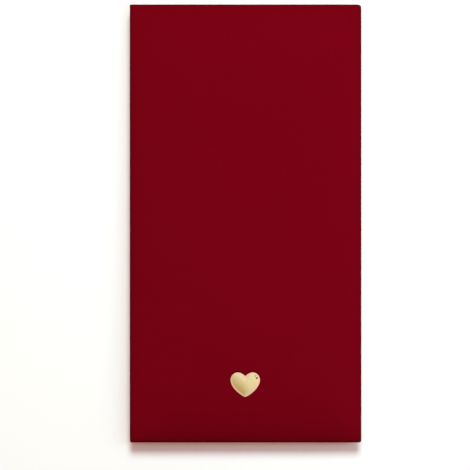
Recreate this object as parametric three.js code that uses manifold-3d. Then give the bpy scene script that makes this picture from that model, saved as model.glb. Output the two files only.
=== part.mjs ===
// Padded gift envelope. A full-length cover with a heart clasp closes over an expanding pocket.
// Units are millimetres. The envelope lies closed on its back, +Z up, with its hinged edge at +Y.
// The origin is the centre of the face that it rests on.

import * as THREE from 'three';
import { mergeVertices } from 'three/addons/utils/BufferGeometryUtils.js';
import Module from 'manifold-3d';

const wasm = await Module();
wasm.setup();

// Driving dimensions: the whole envelope
const envelopeWidth = 121;
const envelopeLength = 229;

// Driving dimensions: sheet materials
const skinThickness = 0.4; // suede-touch paper
const boardThickness = 0.9; // greyboard
const liningThickness = 0.3;
const glueFilm = 0.05;

// Driving dimensions: covers and creases
const turnInWidth = 12;
const creaseRadius = 1.4; // outside of the fold
const creaseClearance = 0.3; // between the inner layers of two covers that meet at a crease
const liningInset = 1; // lining's edge to the cover's edge

// Driving dimensions: the flap's pad
const padEdgeThickness = 0.15;
const padInset = 0.8;
const crownHeight = 1.4;
const crownFade = 3; // how soon the crown falls away at the two short edges, larger is softer
const crownSquareness = 6; // power of the crown's profile across the width
const crownRows = 20;
const crownColumns = 12;

// Driving dimensions: the pocket
const pocketClear = 4.25; // room between the back lining and the pocket panel
const pocketSideInset = 3.5;
const pocketBottomInset = 1.8;
const pocketLength = 200;
const pocketPanelThickness = 0.6;
const pocketFacingThickness = 0.2;
const pocketCornerRadius = 3;
const thumbNotchRadius = 10;
const gussetDepth = 9;
const gussetThickness = 0.3;
const gussetStandoff = 0.6; // height of a gusset's upright part between glue tab and fold
const gussetEndClearance = 0.3;
const tabWidth = 8;
const tabSideClearance = 2;
const flapRestClearance = 0.1; // between the pocket's facing and the closed flap

// Driving dimensions: the clasp
const claspFromBottomEdge = 30;
const heartWidth = 15.8;
const heartHeight = 13.4;
const heartRimHeight = 0.6;
const heartBevelWidth = 0.9;
const heartBevelHeight = 0.5;
const heartDomeHeight = 1.1;
const heartOutlinePoints = 64;
const heartDomeRings = 5;
const prongWidth = 2;
const prongThickness = 0.5;
const prongFromCentre = 5.2;
const prongFootLength = 4;
const prongFootThickness = 0.4;
const prongClearance = 0.3;
const magnetDiameter = 8;
const magnetThickness = 0.8;
const magnetClearance = 0.2;
const keeperDiameter = 12;
const keeperThickness = 0.4;
const keeperClearance = 0.3;
const discSegments = 40;
const arcSegments = 8;

const weldTolerance = 1e-5; // vertices closer than this are one vertex

// Materials
const suedePaper = { color: 0x790414, roughness: 0.95, metalness: 0 };
const liningPaper = { color: 0x8a1a24, roughness: 0.85, metalness: 0 };
const greyboard = { color: 0x9c958a, roughness: 0.9, metalness: 0 };
const gussetCard = { color: 0x7c1420, roughness: 0.85, metalness: 0 };
const foam = { color: 0xeeeae0, roughness: 0.95, metalness: 0 };
const paleGold = { color: 0xe6d3a0, roughness: 0.15, metalness: 1 };
const nickelPlate = { color: 0xc9c7c2, roughness: 0.25, metalness: 1 };
const tinnedSteel = { color: 0xb4b4b2, roughness: 0.35, metalness: 1 };

// Solids and meshes

function solidFrom(geometry) {
  const plain = geometry.index ? geometry.toNonIndexed() : geometry.clone();
  plain.deleteAttribute('normal');
  plain.deleteAttribute('uv');
  const merged = mergeVertices(plain, weldTolerance);
  return new wasm.Manifold(new wasm.Mesh({
    numProp: 3,
    vertProperties: new Float32Array(merged.attributes.position.array),
    triVerts: new Uint32Array(merged.index.array),
  }));
}

function geometryFrom(solid) {
  const { numProp, vertProperties, triVerts } = solid.getMesh();
  const corners = new Float32Array(triVerts.length * 3);
  triVerts.forEach((vertex, i) => {
    for (let axis = 0; axis < 3; axis += 1) {
      corners[i * 3 + axis] = vertProperties[vertex * numProp + axis];
    }
  });
  const geometry = new THREE.BufferGeometry();
  geometry.setAttribute('position', new THREE.BufferAttribute(corners, 3));
  geometry.computeVertexNormals();
  return geometry;
}

function piece(name, solid, finish) {
  const mesh = new THREE.Mesh(geometryFrom(solid), new THREE.MeshStandardMaterial(finish));
  mesh.name = name;
  return mesh;
}

// A box between two corners, each span given as [low, high]
function block(x, y, z) {
  const box = new THREE.BoxGeometry(x[1] - x[0], y[1] - y[0], z[1] - z[0]);
  box.translate((x[0] + x[1]) / 2, (y[0] + y[1]) / 2, (z[0] + z[1]) / 2);
  return solidFrom(box);
}

function disc(diameter, centre, z) {
  const cylinder = new THREE.CylinderGeometry(diameter / 2, diameter / 2, z[1] - z[0], discSegments);
  cylinder.rotateX(Math.PI / 2);
  cylinder.translate(centre.x, centre.y, (z[0] + z[1]) / 2);
  return solidFrom(cylinder);
}

const centred = (width) => [-width / 2, width / 2];
const ascending = (a, b) => [Math.min(a, b), Math.max(a, b)];
const past = 5; // how far a cutting block runs beyond what it cuts

// Covers: back, spine and flap are boards wrapped in one paper and lined with another.
// Depths are measured inwards from a cover's outer face.

function layersOf(padding) {
  const boardOuter = skinThickness + glueFilm + (padding > 0 ? padding + glueFilm : 0);
  const boardInner = boardOuter + boardThickness;
  const turnInOuter = boardInner + glueFilm;
  const turnInInner = turnInOuter + skinThickness;
  const liningOuter = turnInInner + glueFilm;
  const liningInner = liningOuter + liningThickness;
  return { boardOuter, boardInner, turnInOuter, turnInInner, liningOuter, liningInner };
}

const backLayers = layersOf(0);
const spineLayers = layersOf(0);
const flapLayers = layersOf(padEdgeThickness);

// Heights through the closed envelope
const backLiningTop = backLayers.boardInner + glueFilm + liningThickness;
const pocketPanelBottom = backLiningTop + pocketClear;
const pocketPanelTop = pocketPanelBottom + pocketPanelThickness;
const pocketFacingBottom = pocketPanelTop + glueFilm;
const pocketFacingTop = pocketFacingBottom + pocketFacingThickness;
const edgeHeight = pocketFacingTop + flapRestClearance + flapLayers.liningInner;

const bottomEdge = -envelopeLength / 2;
const topEdge = envelopeLength / 2;
const backEnd = topEdge - spineLayers.liningInner - creaseClearance;
const sheetEnd = topEdge - creaseRadius;
const clasp = { x: 0, y: bottomEdge + claspFromBottomEdge };

// A cover lies flat (back and flap, running along Y) or upright (spine, running along Z)
const backCover = {
  layers: backLayers,
  face: 0,
  inward: 1,
  upright: false,
  sheet: [bottomEdge, sheetEnd],
  boards: [bottomEdge, backEnd],
  wrapsBottomEdge: true,
};
const flapCover = { ...backCover, layers: flapLayers, face: edgeHeight, inward: -1 };
const spineCover = {
  layers: spineLayers,
  face: topEdge,
  inward: -1,
  upright: true,
  sheet: [creaseRadius, edgeHeight - creaseRadius],
  boards: [
    backLayers.liningInner + creaseClearance,
    edgeHeight - flapLayers.liningInner - creaseClearance,
  ],
  wrapsBottomEdge: false,
};

function coverBlock(cover, across, along, depths) {
  const through = ascending(
    cover.face + cover.inward * depths[0],
    cover.face + cover.inward * depths[1],
  );
  return cover.upright ? block(across, through, along) : block(across, along, through);
}

// The span along a cover, drawn in from the edges that the paper wraps
function insideWrap(cover, inset) {
  return [cover.boards[0] + (cover.wrapsBottomEdge ? inset : 0), cover.boards[1]];
}

// The same span, run past the edges that stay open at a crease
function openEnded(cover, inset) {
  return [cover.boards[0] + (cover.wrapsBottomEdge ? inset : -past), cover.boards[1] + past];
}

const boardInset = skinThickness + glueFilm;
const boardWidth = envelopeWidth - 2 * boardInset;

function boardOf(cover) {
  const { boardOuter, boardInner } = cover.layers;
  return coverBlock(cover, centred(boardWidth), insideWrap(cover, boardInset), [boardOuter, boardInner]);
}

// The outer paper: a sheet on the face, walls round the board's edges and turn-ins behind it
function skinOf(cover, outerForm, roomForm) {
  const { boardInner, turnInOuter, turnInInner } = cover.layers;
  const roomWidth = envelopeWidth - 2 * skinThickness;
  const sheet = outerForm ?? coverBlock(cover, centred(envelopeWidth), cover.sheet, [0, skinThickness]);
  const wrap = coverBlock(
    cover,
    centred(envelopeWidth),
    cover.boards,
    [skinThickness / 2, turnInInner],
  );
  const boardRoom = coverBlock(
    cover,
    centred(roomWidth),
    openEnded(cover, skinThickness),
    [skinThickness, turnInOuter],
  );
  const opening = coverBlock(
    cover,
    centred(envelopeWidth - 2 * turnInWidth),
    openEnded(cover, turnInWidth),
    [boardInner, turnInInner + past],
  );
  const wrapped = sheet.add(wrap).subtract(boardRoom).subtract(opening);
  return roomForm ? wrapped.subtract(roomForm) : wrapped;
}

// The lining steps down from the turn-ins onto the board
function liningOf(cover) {
  const { boardInner, liningOuter, liningInner } = cover.layers;
  const wellWidth = envelopeWidth - 2 * (turnInWidth + glueFilm);
  const wellFloor = boardInner + glueFilm;
  const rim = coverBlock(
    cover,
    centred(envelopeWidth - 2 * liningInset),
    insideWrap(cover, liningInset),
    [liningOuter, liningInner],
  );
  const well = coverBlock(
    cover,
    centred(wellWidth),
    insideWrap(cover, turnInWidth + glueFilm),
    [wellFloor, liningInner],
  );
  const hollow = coverBlock(
    cover,
    centred(wellWidth - 2 * liningThickness),
    openEnded(cover, turnInWidth + glueFilm + liningThickness),
    [wellFloor + liningThickness, liningInner + past],
  );
  return rim.add(well).subtract(hollow);
}

// The flap's crown: highest in the middle, nothing at the edges

function crownAt(x, y) {
  const side = 1 - Math.abs(2 * x / envelopeWidth) ** crownSquareness;
  const fromBottom = 1 - Math.exp(-(y - bottomEdge) / crownFade);
  const fromTop = 1 - Math.exp(-(sheetEnd - y) / crownFade);
  return crownHeight * side * fromBottom * fromTop;
}

// Grid lines crowd towards both ends of the span, where the crown bends most
function crowded(low, high, count) {
  return Array.from({ length: count + 1 }, (_, i) => {
    const share = (1 - Math.cos(Math.PI * i / count)) / 2;
    return low + (high - low) * share;
  });
}

// A solid over the flap's whole plan, with a flat underside and a crowned top
function crownedSlab(underside, edgeTop) {
  const xs = crowded(-envelopeWidth / 2, envelopeWidth / 2, crownColumns);
  const ys = crowded(bottomEdge, sheetEnd, crownRows);
  const top = (i, j) => [xs[i], ys[j], edgeTop + crownAt(xs[i], ys[j])];
  const bottom = (i, j) => [xs[i], ys[j], underside];
  const corners = [];
  const quad = (a, b, c, d) => corners.push(...a, ...b, ...c, ...a, ...c, ...d);
  for (let i = 0; i < crownColumns; i += 1) {
    for (let j = 0; j < crownRows; j += 1) {
      quad(top(i, j), top(i + 1, j), top(i + 1, j + 1), top(i, j + 1));
      quad(bottom(i, j), bottom(i, j + 1), bottom(i + 1, j + 1), bottom(i + 1, j));
    }
    quad(bottom(i, 0), bottom(i + 1, 0), top(i + 1, 0), top(i, 0));
    quad(bottom(i + 1, crownRows), bottom(i, crownRows), top(i, crownRows), top(i + 1, crownRows));
  }
  for (let j = 0; j < crownRows; j += 1) {
    quad(bottom(0, j + 1), bottom(0, j), top(0, j), top(0, j + 1));
    quad(bottom(crownColumns, j), bottom(crownColumns, j + 1), top(crownColumns, j + 1), top(crownColumns, j));
  }
  const geometry = new THREE.BufferGeometry();
  geometry.setAttribute('position', new THREE.Float32BufferAttribute(corners, 3));
  return solidFrom(geometry);
}

// Heights in the flap
const flapBoardTop = edgeHeight - flapLayers.boardOuter;
const flapBoardBottom = edgeHeight - flapLayers.boardInner;
const padEdgeTop = flapBoardTop + glueFilm + padEdgeThickness;
const skinEdgeUnderside = padEdgeTop + glueFilm;

// The prongs' two slots, and the sunk seats that their bent feet lie in
function prongSlots(z) {
  const width = prongThickness + 2 * prongClearance;
  const depth = centred(prongWidth + 2 * prongClearance).map((y) => clasp.y + y);
  const right = [prongFromCentre - width / 2, prongFromCentre + width / 2];
  const left = [-right[1], -right[0]];
  return block(right, depth, z).add(block(left, depth, z));
}

function prongFeet(clearance, z) {
  const depth = centred(prongWidth + 2 * clearance).map((y) => clasp.y + y);
  const inner = prongFromCentre - prongThickness / 2 - clearance;
  const outer = prongFromCentre + prongThickness / 2 + prongFootLength + clearance;
  return block([inner, outer], depth, z).add(block([-outer, -inner], depth, z));
}

const throughFlap = [flapBoardBottom - past, edgeHeight + crownHeight + past];

function flapSkin() {
  const outerForm = crownedSlab(edgeHeight - skinThickness, edgeHeight);
  const room = crownedSlab(flapBoardBottom - glueFilm, skinEdgeUnderside);
  const roomPlan = block(
    centred(envelopeWidth - 2 * skinThickness),
    [bottomEdge + skinThickness, sheetEnd + past],
    [flapBoardBottom - glueFilm, edgeHeight + crownHeight],
  );
  return skinOf(flapCover, outerForm, room.intersect(roomPlan)).subtract(prongSlots(throughFlap));
}

function flapPad() {
  const crowned = crownedSlab(flapBoardTop + glueFilm, padEdgeTop);
  const plan = block(
    centred(boardWidth - 2 * padInset),
    [bottomEdge + boardInset + padInset, backEnd - padInset],
    [flapBoardTop, edgeHeight + crownHeight],
  );
  return crowned.intersect(plan).subtract(prongSlots(throughFlap));
}

function flapBoard() {
  const seats = prongFeet(prongClearance, [
    flapBoardBottom - past,
    flapBoardBottom + prongFootThickness + 2 * glueFilm,
  ]);
  const magnetHole = disc(magnetDiameter + 2 * magnetClearance, clasp, throughFlap);
  return boardOf(flapCover).subtract(magnetHole).subtract(prongSlots(throughFlap)).subtract(seats);
}

function claspMagnet() {
  const middle = (flapBoardTop + flapBoardBottom) / 2;
  return disc(magnetDiameter, clasp, centred(magnetThickness).map((z) => middle + z));
}

// The heart's outline, from the notch round its right half to the tip and back
function heartOutline() {
  const w = heartWidth / 2;
  const h = heartHeight;
  const notch = new THREE.Vector2(0, -0.135 * h);
  const lobeTop = new THREE.Vector2(0.455 * w, 0);
  const widest = new THREE.Vector2(w, -0.33 * h);
  const tip = new THREE.Vector2(0, -h);
  const right = [
    new THREE.CubicBezierCurve(
      notch, new THREE.Vector2(0.06 * w, -0.065 * h), new THREE.Vector2(0.24 * w, 0), lobeTop,
    ),
    new THREE.CubicBezierCurve(
      lobeTop, new THREE.Vector2(0.72 * w, 0), new THREE.Vector2(w, -0.17 * h), widest,
    ),
    new THREE.CubicBezierCurve(
      widest, new THREE.Vector2(w, -0.55 * h), new THREE.Vector2(0.62 * w, -0.85 * h), tip,
    ),
  ];
  const path = new THREE.CurvePath();
  right.forEach((curve) => path.add(curve));
  const half = path.getSpacedPoints(heartOutlinePoints / 2);
  const mirrored = half.slice(1, -1).reverse().map((p) => new THREE.Vector2(-p.x, p.y));
  const middle = new THREE.Vector2(0, -h / 2);
  return half.concat(mirrored).map((p) => p.sub(middle));
}

// A heart-shaped boss: upright rim, sloping bevel, then a dome closed at its centre
function heartBoss(seat) {
  const outline = heartOutline();
  const bevelScale = 1 - heartBevelWidth / (heartWidth / 2);
  const rings = [
    { scale: 1, z: seat },
    { scale: 1, z: seat + heartRimHeight },
  ];
  for (let k = 0; k < heartDomeRings; k += 1) {
    const angle = (Math.PI / 2) * (k / heartDomeRings);
    rings.push({
      scale: bevelScale * Math.cos(angle),
      z: seat + heartRimHeight + heartBevelHeight + heartDomeHeight * Math.sin(angle),
    });
  }
  const at = (ring, point) => [clasp.x + ring.scale * point.x, clasp.y + ring.scale * point.y, ring.z];
  const base = [clasp.x, clasp.y, seat];
  const peak = [clasp.x, clasp.y, seat + heartRimHeight + heartBevelHeight + heartDomeHeight];
  const corners = [];
  outline.forEach((from, i) => {
    const to = outline[(i + 1) % outline.length];
    // The outline runs clockwise seen from above
    corners.push(...base, ...at(rings[0], from), ...at(rings[0], to));
    for (let k = 1; k < rings.length; k += 1) {
      const [low, high] = [rings[k - 1], rings[k]];
      corners.push(...at(low, to), ...at(low, from), ...at(high, from));
      corners.push(...at(low, to), ...at(high, from), ...at(high, to));
    }
    corners.push(...peak, ...at(rings.at(-1), to), ...at(rings.at(-1), from));
  });
  const geometry = new THREE.BufferGeometry();
  geometry.setAttribute('position', new THREE.Float32BufferAttribute(corners, 3));
  return solidFrom(geometry);
}

function heartStud() {
  const seat = edgeHeight + crownHeight + glueFilm;
  const footBottom = flapBoardBottom + glueFilm;
  const footTop = footBottom + prongFootThickness;
  const depth = centred(prongWidth).map((y) => clasp.y + y);
  const right = centred(prongThickness).map((x) => x + prongFromCentre);
  const left = centred(prongThickness).map((x) => x - prongFromCentre);
  const stem = [footBottom, seat + heartRimHeight];
  return heartBoss(seat)
    .add(block(right, depth, stem))
    .add(block(left, depth, stem))
    .add(prongFeet(0, [footBottom, footTop]));
}

// Creases: quarter-round folds of the outer paper, and the lining pressed into each fold.
// Both are drawn in the Y-Z plane and run across the whole width.

const alongWidth = new THREE.Matrix4().makeBasis(
  new THREE.Vector3(0, 1, 0),
  new THREE.Vector3(0, 0, 1),
  new THREE.Vector3(1, 0, 0),
);

function acrossWidth(shape, width) {
  const settings = { depth: width, bevelEnabled: false, curveSegments: arcSegments };
  const geometry = new THREE.ExtrudeGeometry(shape, settings);
  geometry.applyMatrix4(alongWidth);
  geometry.translate(-width / 2, 0, 0);
  return solidFrom(geometry);
}

// A fold at the corner of two outer faces. up is 1 at the lower corner and -1 at the upper one.
// flatLeg runs on under the flat cover, and uprightLeg along the spine.
function foldShape(cornerZ, up, outer, inner, flatLeg, uprightLeg) {
  const centreY = topEdge - creaseRadius;
  const centreZ = cornerZ + up * creaseRadius;
  const down = up > 0 ? -Math.PI / 2 : Math.PI / 2;
  const shape = new THREE.Shape();
  shape.moveTo(centreY - flatLeg, centreZ - up * outer);
  if (flatLeg > 0) shape.lineTo(centreY, centreZ - up * outer);
  shape.absarc(centreY, centreZ, outer, down, 0, up < 0);
  if (uprightLeg > 0) shape.lineTo(centreY + outer, centreZ + up * uprightLeg);
  shape.lineTo(centreY + inner, centreZ + up * uprightLeg);
  if (uprightLeg > 0) shape.lineTo(centreY + inner, centreZ);
  shape.absarc(centreY, centreZ, inner, 0, down, up > 0);
  if (flatLeg > 0) shape.lineTo(centreY - flatLeg, centreZ - up * inner);
  return shape;
}

function creaseSkin(cornerZ, up) {
  const shape = foldShape(cornerZ, up, creaseRadius, creaseRadius - skinThickness, 0, 0);
  return acrossWidth(shape, envelopeWidth);
}

function creaseLining(cornerZ, up, spineBoardEnd) {
  const outer = creaseRadius - skinThickness - glueFilm;
  const flatLeg = sheetEnd - backEnd - creaseClearance;
  const uprightLeg = Math.abs(spineBoardEnd - cornerZ) - creaseRadius - creaseClearance;
  const shape = foldShape(cornerZ, up, outer, outer - liningThickness, flatLeg, uprightLeg);
  return acrossWidth(shape, envelopeWidth - 2 * liningInset);
}

// The pocket

const pocketHalfWidth = envelopeWidth / 2 - pocketSideInset;
const pocketBottom = bottomEdge + pocketBottomInset;
const pocketMouth = pocketBottom + pocketLength;
const tabBottom = backLayers.liningInner + glueFilm;
const wallTop = pocketPanelBottom - glueFilm;

// The panel's outline: square at the bottom, rounded at the mouth, with a thumb notch
function pocketSheet(z) {
  const shape = new THREE.Shape();
  const cornerY = pocketMouth - pocketCornerRadius;
  const cornerX = pocketHalfWidth - pocketCornerRadius;
  shape.moveTo(-pocketHalfWidth, pocketBottom);
  shape.lineTo(pocketHalfWidth, pocketBottom);
  shape.lineTo(pocketHalfWidth, cornerY);
  shape.absarc(cornerX, cornerY, pocketCornerRadius, 0, Math.PI / 2, false);
  shape.lineTo(thumbNotchRadius, pocketMouth);
  shape.absarc(0, pocketMouth, thumbNotchRadius, 0, -Math.PI, true);
  shape.lineTo(-cornerX, pocketMouth);
  shape.absarc(-cornerX, cornerY, pocketCornerRadius, Math.PI / 2, Math.PI, false);
  const settings = { depth: z[1] - z[0], bevelEnabled: false, curveSegments: arcSegments * 2 };
  const geometry = new THREE.ExtrudeGeometry(shape, settings);
  geometry.translate(0, 0, z[0]);
  return solidFrom(geometry);
}

function pocketPanel() {
  const recessFloor = pocketPanelTop - keeperThickness - glueFilm;
  const recess = disc(keeperDiameter + 2 * keeperClearance, clasp, [recessFloor, pocketPanelTop + past]);
  return pocketSheet([pocketPanelBottom, pocketPanelTop]).subtract(recess);
}

function bottomWall() {
  const wallDepth = [pocketBottom, pocketBottom + gussetThickness];
  const wall = block(centred(2 * pocketHalfWidth), wallDepth, [tabBottom, wallTop]);
  const tabHalfWidth = pocketHalfWidth - gussetDepth - tabSideClearance;
  const tab = block(
    centred(2 * tabHalfWidth),
    [pocketBottom, pocketBottom + tabWidth],
    [tabBottom, tabBottom + gussetThickness],
  );
  return wall.add(tab);
}

// A folded strip's outline: its centre line widened by half its thickness on each side
function stripShape(points, thickness) {
  const edge = (side) => points.map((p, i) => {
    const before = p.clone().sub(points[Math.max(i - 1, 0)]);
    const after = points[Math.min(i + 1, points.length - 1)].clone().sub(p);
    const a = (before.length() > 0 ? before : after).clone().normalize();
    const b = (after.length() > 0 ? after : before).clone().normalize();
    const normalA = new THREE.Vector2(-a.y, a.x);
    const normalB = new THREE.Vector2(-b.y, b.x);
    const mitre = normalA.clone().add(normalB);
    const reach = thickness / (1 + normalA.dot(normalB));
    return p.clone().addScaledVector(mitre, (side * reach) / 2);
  });
  return new THREE.Shape(edge(-1).concat(edge(1).reverse()));
}

const alongLength = new THREE.Matrix4().makeBasis(
  new THREE.Vector3(1, 0, 0),
  new THREE.Vector3(0, 0, 1),
  new THREE.Vector3(0, -1, 0),
);

// side is 1 for the right gusset and -1 for the left one
function gusset(side) {
  const outerX = side * (pocketHalfWidth - gussetThickness / 2);
  const foldX = side * (pocketHalfWidth - gussetDepth);
  const tabX = side * (pocketHalfWidth - tabWidth);
  const low = tabBottom + gussetThickness / 2;
  const high = wallTop - gussetThickness / 2;
  const centreLine = [
    [tabX, low],
    [outerX, low],
    [outerX, low + gussetStandoff],
    [foldX, (low + high) / 2],
    [outerX, high - gussetStandoff],
    [outerX, high],
    [tabX, high],
  ].map(([x, z]) => new THREE.Vector2(x, z));
  const start = pocketBottom + gussetThickness + gussetEndClearance;
  const settings = { depth: pocketMouth - start, bevelEnabled: false };
  const geometry = new THREE.ExtrudeGeometry(stripShape(centreLine, gussetThickness), settings);
  geometry.applyMatrix4(alongLength);
  geometry.translate(0, pocketMouth, 0);
  return solidFrom(geometry);
}

// Assembly

const back = new THREE.Group();
back.add(
  piece('back_skin', skinOf(backCover), suedePaper),
  piece('back_board', boardOf(backCover), greyboard),
  piece('back_lining', liningOf(backCover), liningPaper),
  piece('lower_crease', creaseSkin(0, 1), suedePaper),
  piece('lower_crease_lining', creaseLining(0, 1, spineCover.boards[0]), liningPaper),
  piece('bottom_wall', bottomWall(), gussetCard),
  piece('left_gusset', gusset(-1), gussetCard),
  piece('right_gusset', gusset(1), gussetCard),
);

const pocket = new THREE.Group();
const keeperBottom = pocketPanelTop - keeperThickness;
pocket.add(
  piece('pocket_panel', pocketPanel(), gussetCard),
  piece('pocket_facing', pocketSheet([pocketFacingBottom, pocketFacingTop]), suedePaper),
  piece('keeper_disc', disc(keeperDiameter, clasp, [keeperBottom, pocketPanelTop]), tinnedSteel),
);

const spine = new THREE.Group();
spine.add(
  piece('spine_skin', skinOf(spineCover), suedePaper),
  piece('spine_board', boardOf(spineCover), greyboard),
  piece('spine_lining', liningOf(spineCover), liningPaper),
  piece('upper_crease', creaseSkin(edgeHeight, -1), suedePaper),
  piece('upper_crease_lining', creaseLining(edgeHeight, -1, spineCover.boards[1]), liningPaper),
);

const flap = new THREE.Group();
flap.add(
  piece('flap_skin', flapSkin(), suedePaper),
  piece('flap_pad', flapPad(), foam),
  piece('flap_board', flapBoard(), greyboard),
  piece('flap_lining', liningOf(flapCover), liningPaper),
  piece('clasp_magnet', claspMagnet(), nickelPlate),
  piece('heart_stud', heartStud(), paleGold),
);

const envelope = new THREE.Group();
envelope.add(back, pocket, spine, flap);

export default envelope;
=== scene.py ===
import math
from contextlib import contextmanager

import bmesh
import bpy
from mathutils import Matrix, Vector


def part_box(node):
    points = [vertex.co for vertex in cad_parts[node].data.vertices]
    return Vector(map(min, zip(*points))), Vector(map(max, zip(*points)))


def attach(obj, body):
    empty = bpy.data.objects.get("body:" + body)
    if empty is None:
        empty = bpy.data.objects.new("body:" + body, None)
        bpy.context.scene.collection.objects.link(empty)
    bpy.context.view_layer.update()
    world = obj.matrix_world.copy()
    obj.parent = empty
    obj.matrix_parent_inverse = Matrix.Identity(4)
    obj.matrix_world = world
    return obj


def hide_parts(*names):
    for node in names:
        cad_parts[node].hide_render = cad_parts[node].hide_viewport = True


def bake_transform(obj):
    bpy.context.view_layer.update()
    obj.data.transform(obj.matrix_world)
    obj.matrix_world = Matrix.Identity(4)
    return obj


bl_info = {
    "name": "Padded gift envelope",
    "version": (1, 0, 0),
    "blender": (4, 5, 0),
    "location": "3D View > Sidebar > Envelope",
    "description": "Papers, foam, pocket, clasp and stage of a padded gift envelope",
    "category": "Object",
}

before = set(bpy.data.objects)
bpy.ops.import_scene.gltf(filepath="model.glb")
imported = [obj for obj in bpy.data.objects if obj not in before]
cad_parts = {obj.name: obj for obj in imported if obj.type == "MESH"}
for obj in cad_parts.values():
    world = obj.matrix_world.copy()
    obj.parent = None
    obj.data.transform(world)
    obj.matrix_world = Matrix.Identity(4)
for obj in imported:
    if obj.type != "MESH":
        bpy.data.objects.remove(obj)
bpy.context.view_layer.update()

MM = 0.001

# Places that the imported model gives. Its front faces up, and its hinged edge is at +Y.
BOTTOM_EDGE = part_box("back_skin")[0].y
SHEET_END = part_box("back_skin")[1].y
BOARD_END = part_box("back_board")[1].y
TOP_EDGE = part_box("spine_skin")[1].y
HALF_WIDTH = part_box("back_skin")[1].x
EDGE_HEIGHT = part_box("upper_crease")[1].z
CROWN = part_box("flap_skin")[1].z - EDGE_HEIGHT
SPINE_LOW, SPINE_HIGH = (corner.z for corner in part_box("spine_skin"))
SPINE_BOARD_LOW, SPINE_BOARD_HIGH = (corner.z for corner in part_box("spine_board"))
CREASE_RADIUS = TOP_EDGE - SHEET_END
CLASP = (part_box("keeper_disc")[0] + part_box("keeper_disc")[1]) / 2
# The heart sits a little above and beside the magnet's middle, as it was set by hand
HEART_OFFSET = Vector((-0.2, 0.6)) * MM


def linear(hex_colour):
    """An sRGB hex colour as the linear RGBA that a shader takes."""
    parts = [int(hex_colour[i : i + 2], 16) / 255 for i in (1, 3, 5)]
    return [p / 12.92 if p <= 0.04045 else ((p + 0.055) / 1.055) ** 2.4 for p in parts] + [1.0]


def length(name, default_mm, description):
    """A length property, given in millimetres and kept in metres."""
    return bpy.props.FloatProperty(
        name=name,
        description=description,
        default=default_mm * MM,
        min=0.0,
        unit="LENGTH",
        subtype="DISTANCE",
    )


def colour(name, hex_colour, description):
    """A colour property, given as sRGB hex and kept as linear RGBA."""
    return bpy.props.FloatVectorProperty(
        name=name,
        description=description,
        default=linear(hex_colour),
        size=4,
        min=0.0,
        max=1.0,
        subtype="COLOR",
    )


class EnvelopeSizes(bpy.types.PropertyGroup):
    """Sizes of the papers, the padding, the pocket and the heart."""

    paper: length("Outer paper", 0.4, "Thickness of the suede-touch paper")
    lining: length("Lining", 0.3, "Thickness of the lining paper")
    turn_in: length("Turn-in", 12, "How far the outer paper is folded in behind the boards")
    edge_roll: length("Edge roll", 1.1, "Radius at which the paper rolls over a cover's edge")
    inner_fold: length("Inner fold", 0.4, "Radius at which the paper folds behind a cover")
    padding: length("Padding", 1.8, "Rise of the padded front over its edges")
    bottom_fade: length("Bottom roll", 8, "How far the padding takes to fall away at the bottom edge")
    top_fade: length("Top roll", 24, "How far the padding takes to fall away at the hinged edge")
    worn_corner: length("Worn corner", 2.6, "Radius of the corner that has rubbed round")
    heart_width: length("Heart width", 15.3, "Width of the heart over its lobes")
    heart_height: length("Heart height", 12.7, "Height of the heart from lobes to tip")
    heart_side: length("Heart side", 1.0, "Height of the heart's upright side")
    rim_width: length("Rim width", 0.85, "Width of the heart's sloping rim")
    rim_height: length("Rim height", 0.55, "Rise of the heart's sloping rim")
    heart_dip: length("Heart dip", 0.7, "How deep the heart presses the padding in")
    dip_reach: length("Dip reach", 0.8, "How far round the heart the padding is pressed in")
    mouth_corner: length("Mouth corner", 3, "Radius of the pocket's corners at its mouth")
    thumb_notch: length("Thumb notch", 10, "Radius of the notch in the pocket's mouth")
    gusset_depth: length("Gusset depth", 9, "How far a gusset folds in")
    gusset_standoff: length("Gusset standoff", 0.6, "Upright part between a gusset's tab and fold")


class EnvelopeColours(bpy.types.PropertyGroup):
    """Colours of the papers, boards and metals."""

    suede: colour("Suede paper", "#720212", "Deep red of the suede-touch outer paper")
    lining: colour("Lining paper", "#8A1A24", "Red of the uncoated lining paper")
    card: colour("Gusset card", "#7C1420", "Red of the dyed card in the pocket")
    board: colour("Greyboard", "#9C958A", "Grey of the recycled board")
    foam: colour("Foam", "#EEEAE0", "Off-white of the foam sheet")
    gold: colour("Pale gold", "#EBDAA6", "Champagne tone of the plated heart")
    nickel: colour("Nickel", "#C9C7C2", "Tone of the magnet's nickel plate")
    steel: colour("Tinned steel", "#B4B4B2", "Tone of the keeper's tin plate")
    floor: colour("Floor", "#E5FFFF", "Pale cool floor, which the warm veil turns to white")


def ease(value, start, end):
    """0 before start, 1 after end, and a smooth S between them."""
    share = min(max((value - start) / (end - start), 0.0), 1.0)
    return share * share * (3 - 2 * share)


def blend_values(a, b, share):
    return a + (b - a) * share


# Modelling helpers


def select_only(piece):
    bpy.ops.object.select_all(action="DESELECT")
    piece.select_set(True)
    bpy.context.view_layer.objects.active = piece


def named(name):
    """Names the object that was just added, and puts its place into its mesh."""
    piece = bpy.context.object
    piece.name = name
    piece.data.name = name
    bpy.ops.object.transform_apply(location=True, rotation=True, scale=True)
    return piece


def flat_sheet(name, low, high, columns, rows):
    """A flat grid between two corners, facing up at height 0."""
    bpy.ops.object.select_all(action="DESELECT")
    bpy.ops.mesh.primitive_grid_add(
        x_subdivisions=columns,
        y_subdivisions=rows,
        size=1,
        location=((low[0] + high[0]) / 2, (low[1] + high[1]) / 2, 0),
    )
    bpy.context.object.scale = (high[0] - low[0], high[1] - low[1], 1)
    return named(name)


def block(name, low, high):
    """A block between two corners."""
    bpy.ops.object.select_all(action="DESELECT")
    bpy.ops.mesh.primitive_cube_add(
        size=1,
        location=[(a + b) / 2 for a, b in zip(low, high)],
        scale=[b - a for a, b in zip(low, high)],
    )
    return named(name)


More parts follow.
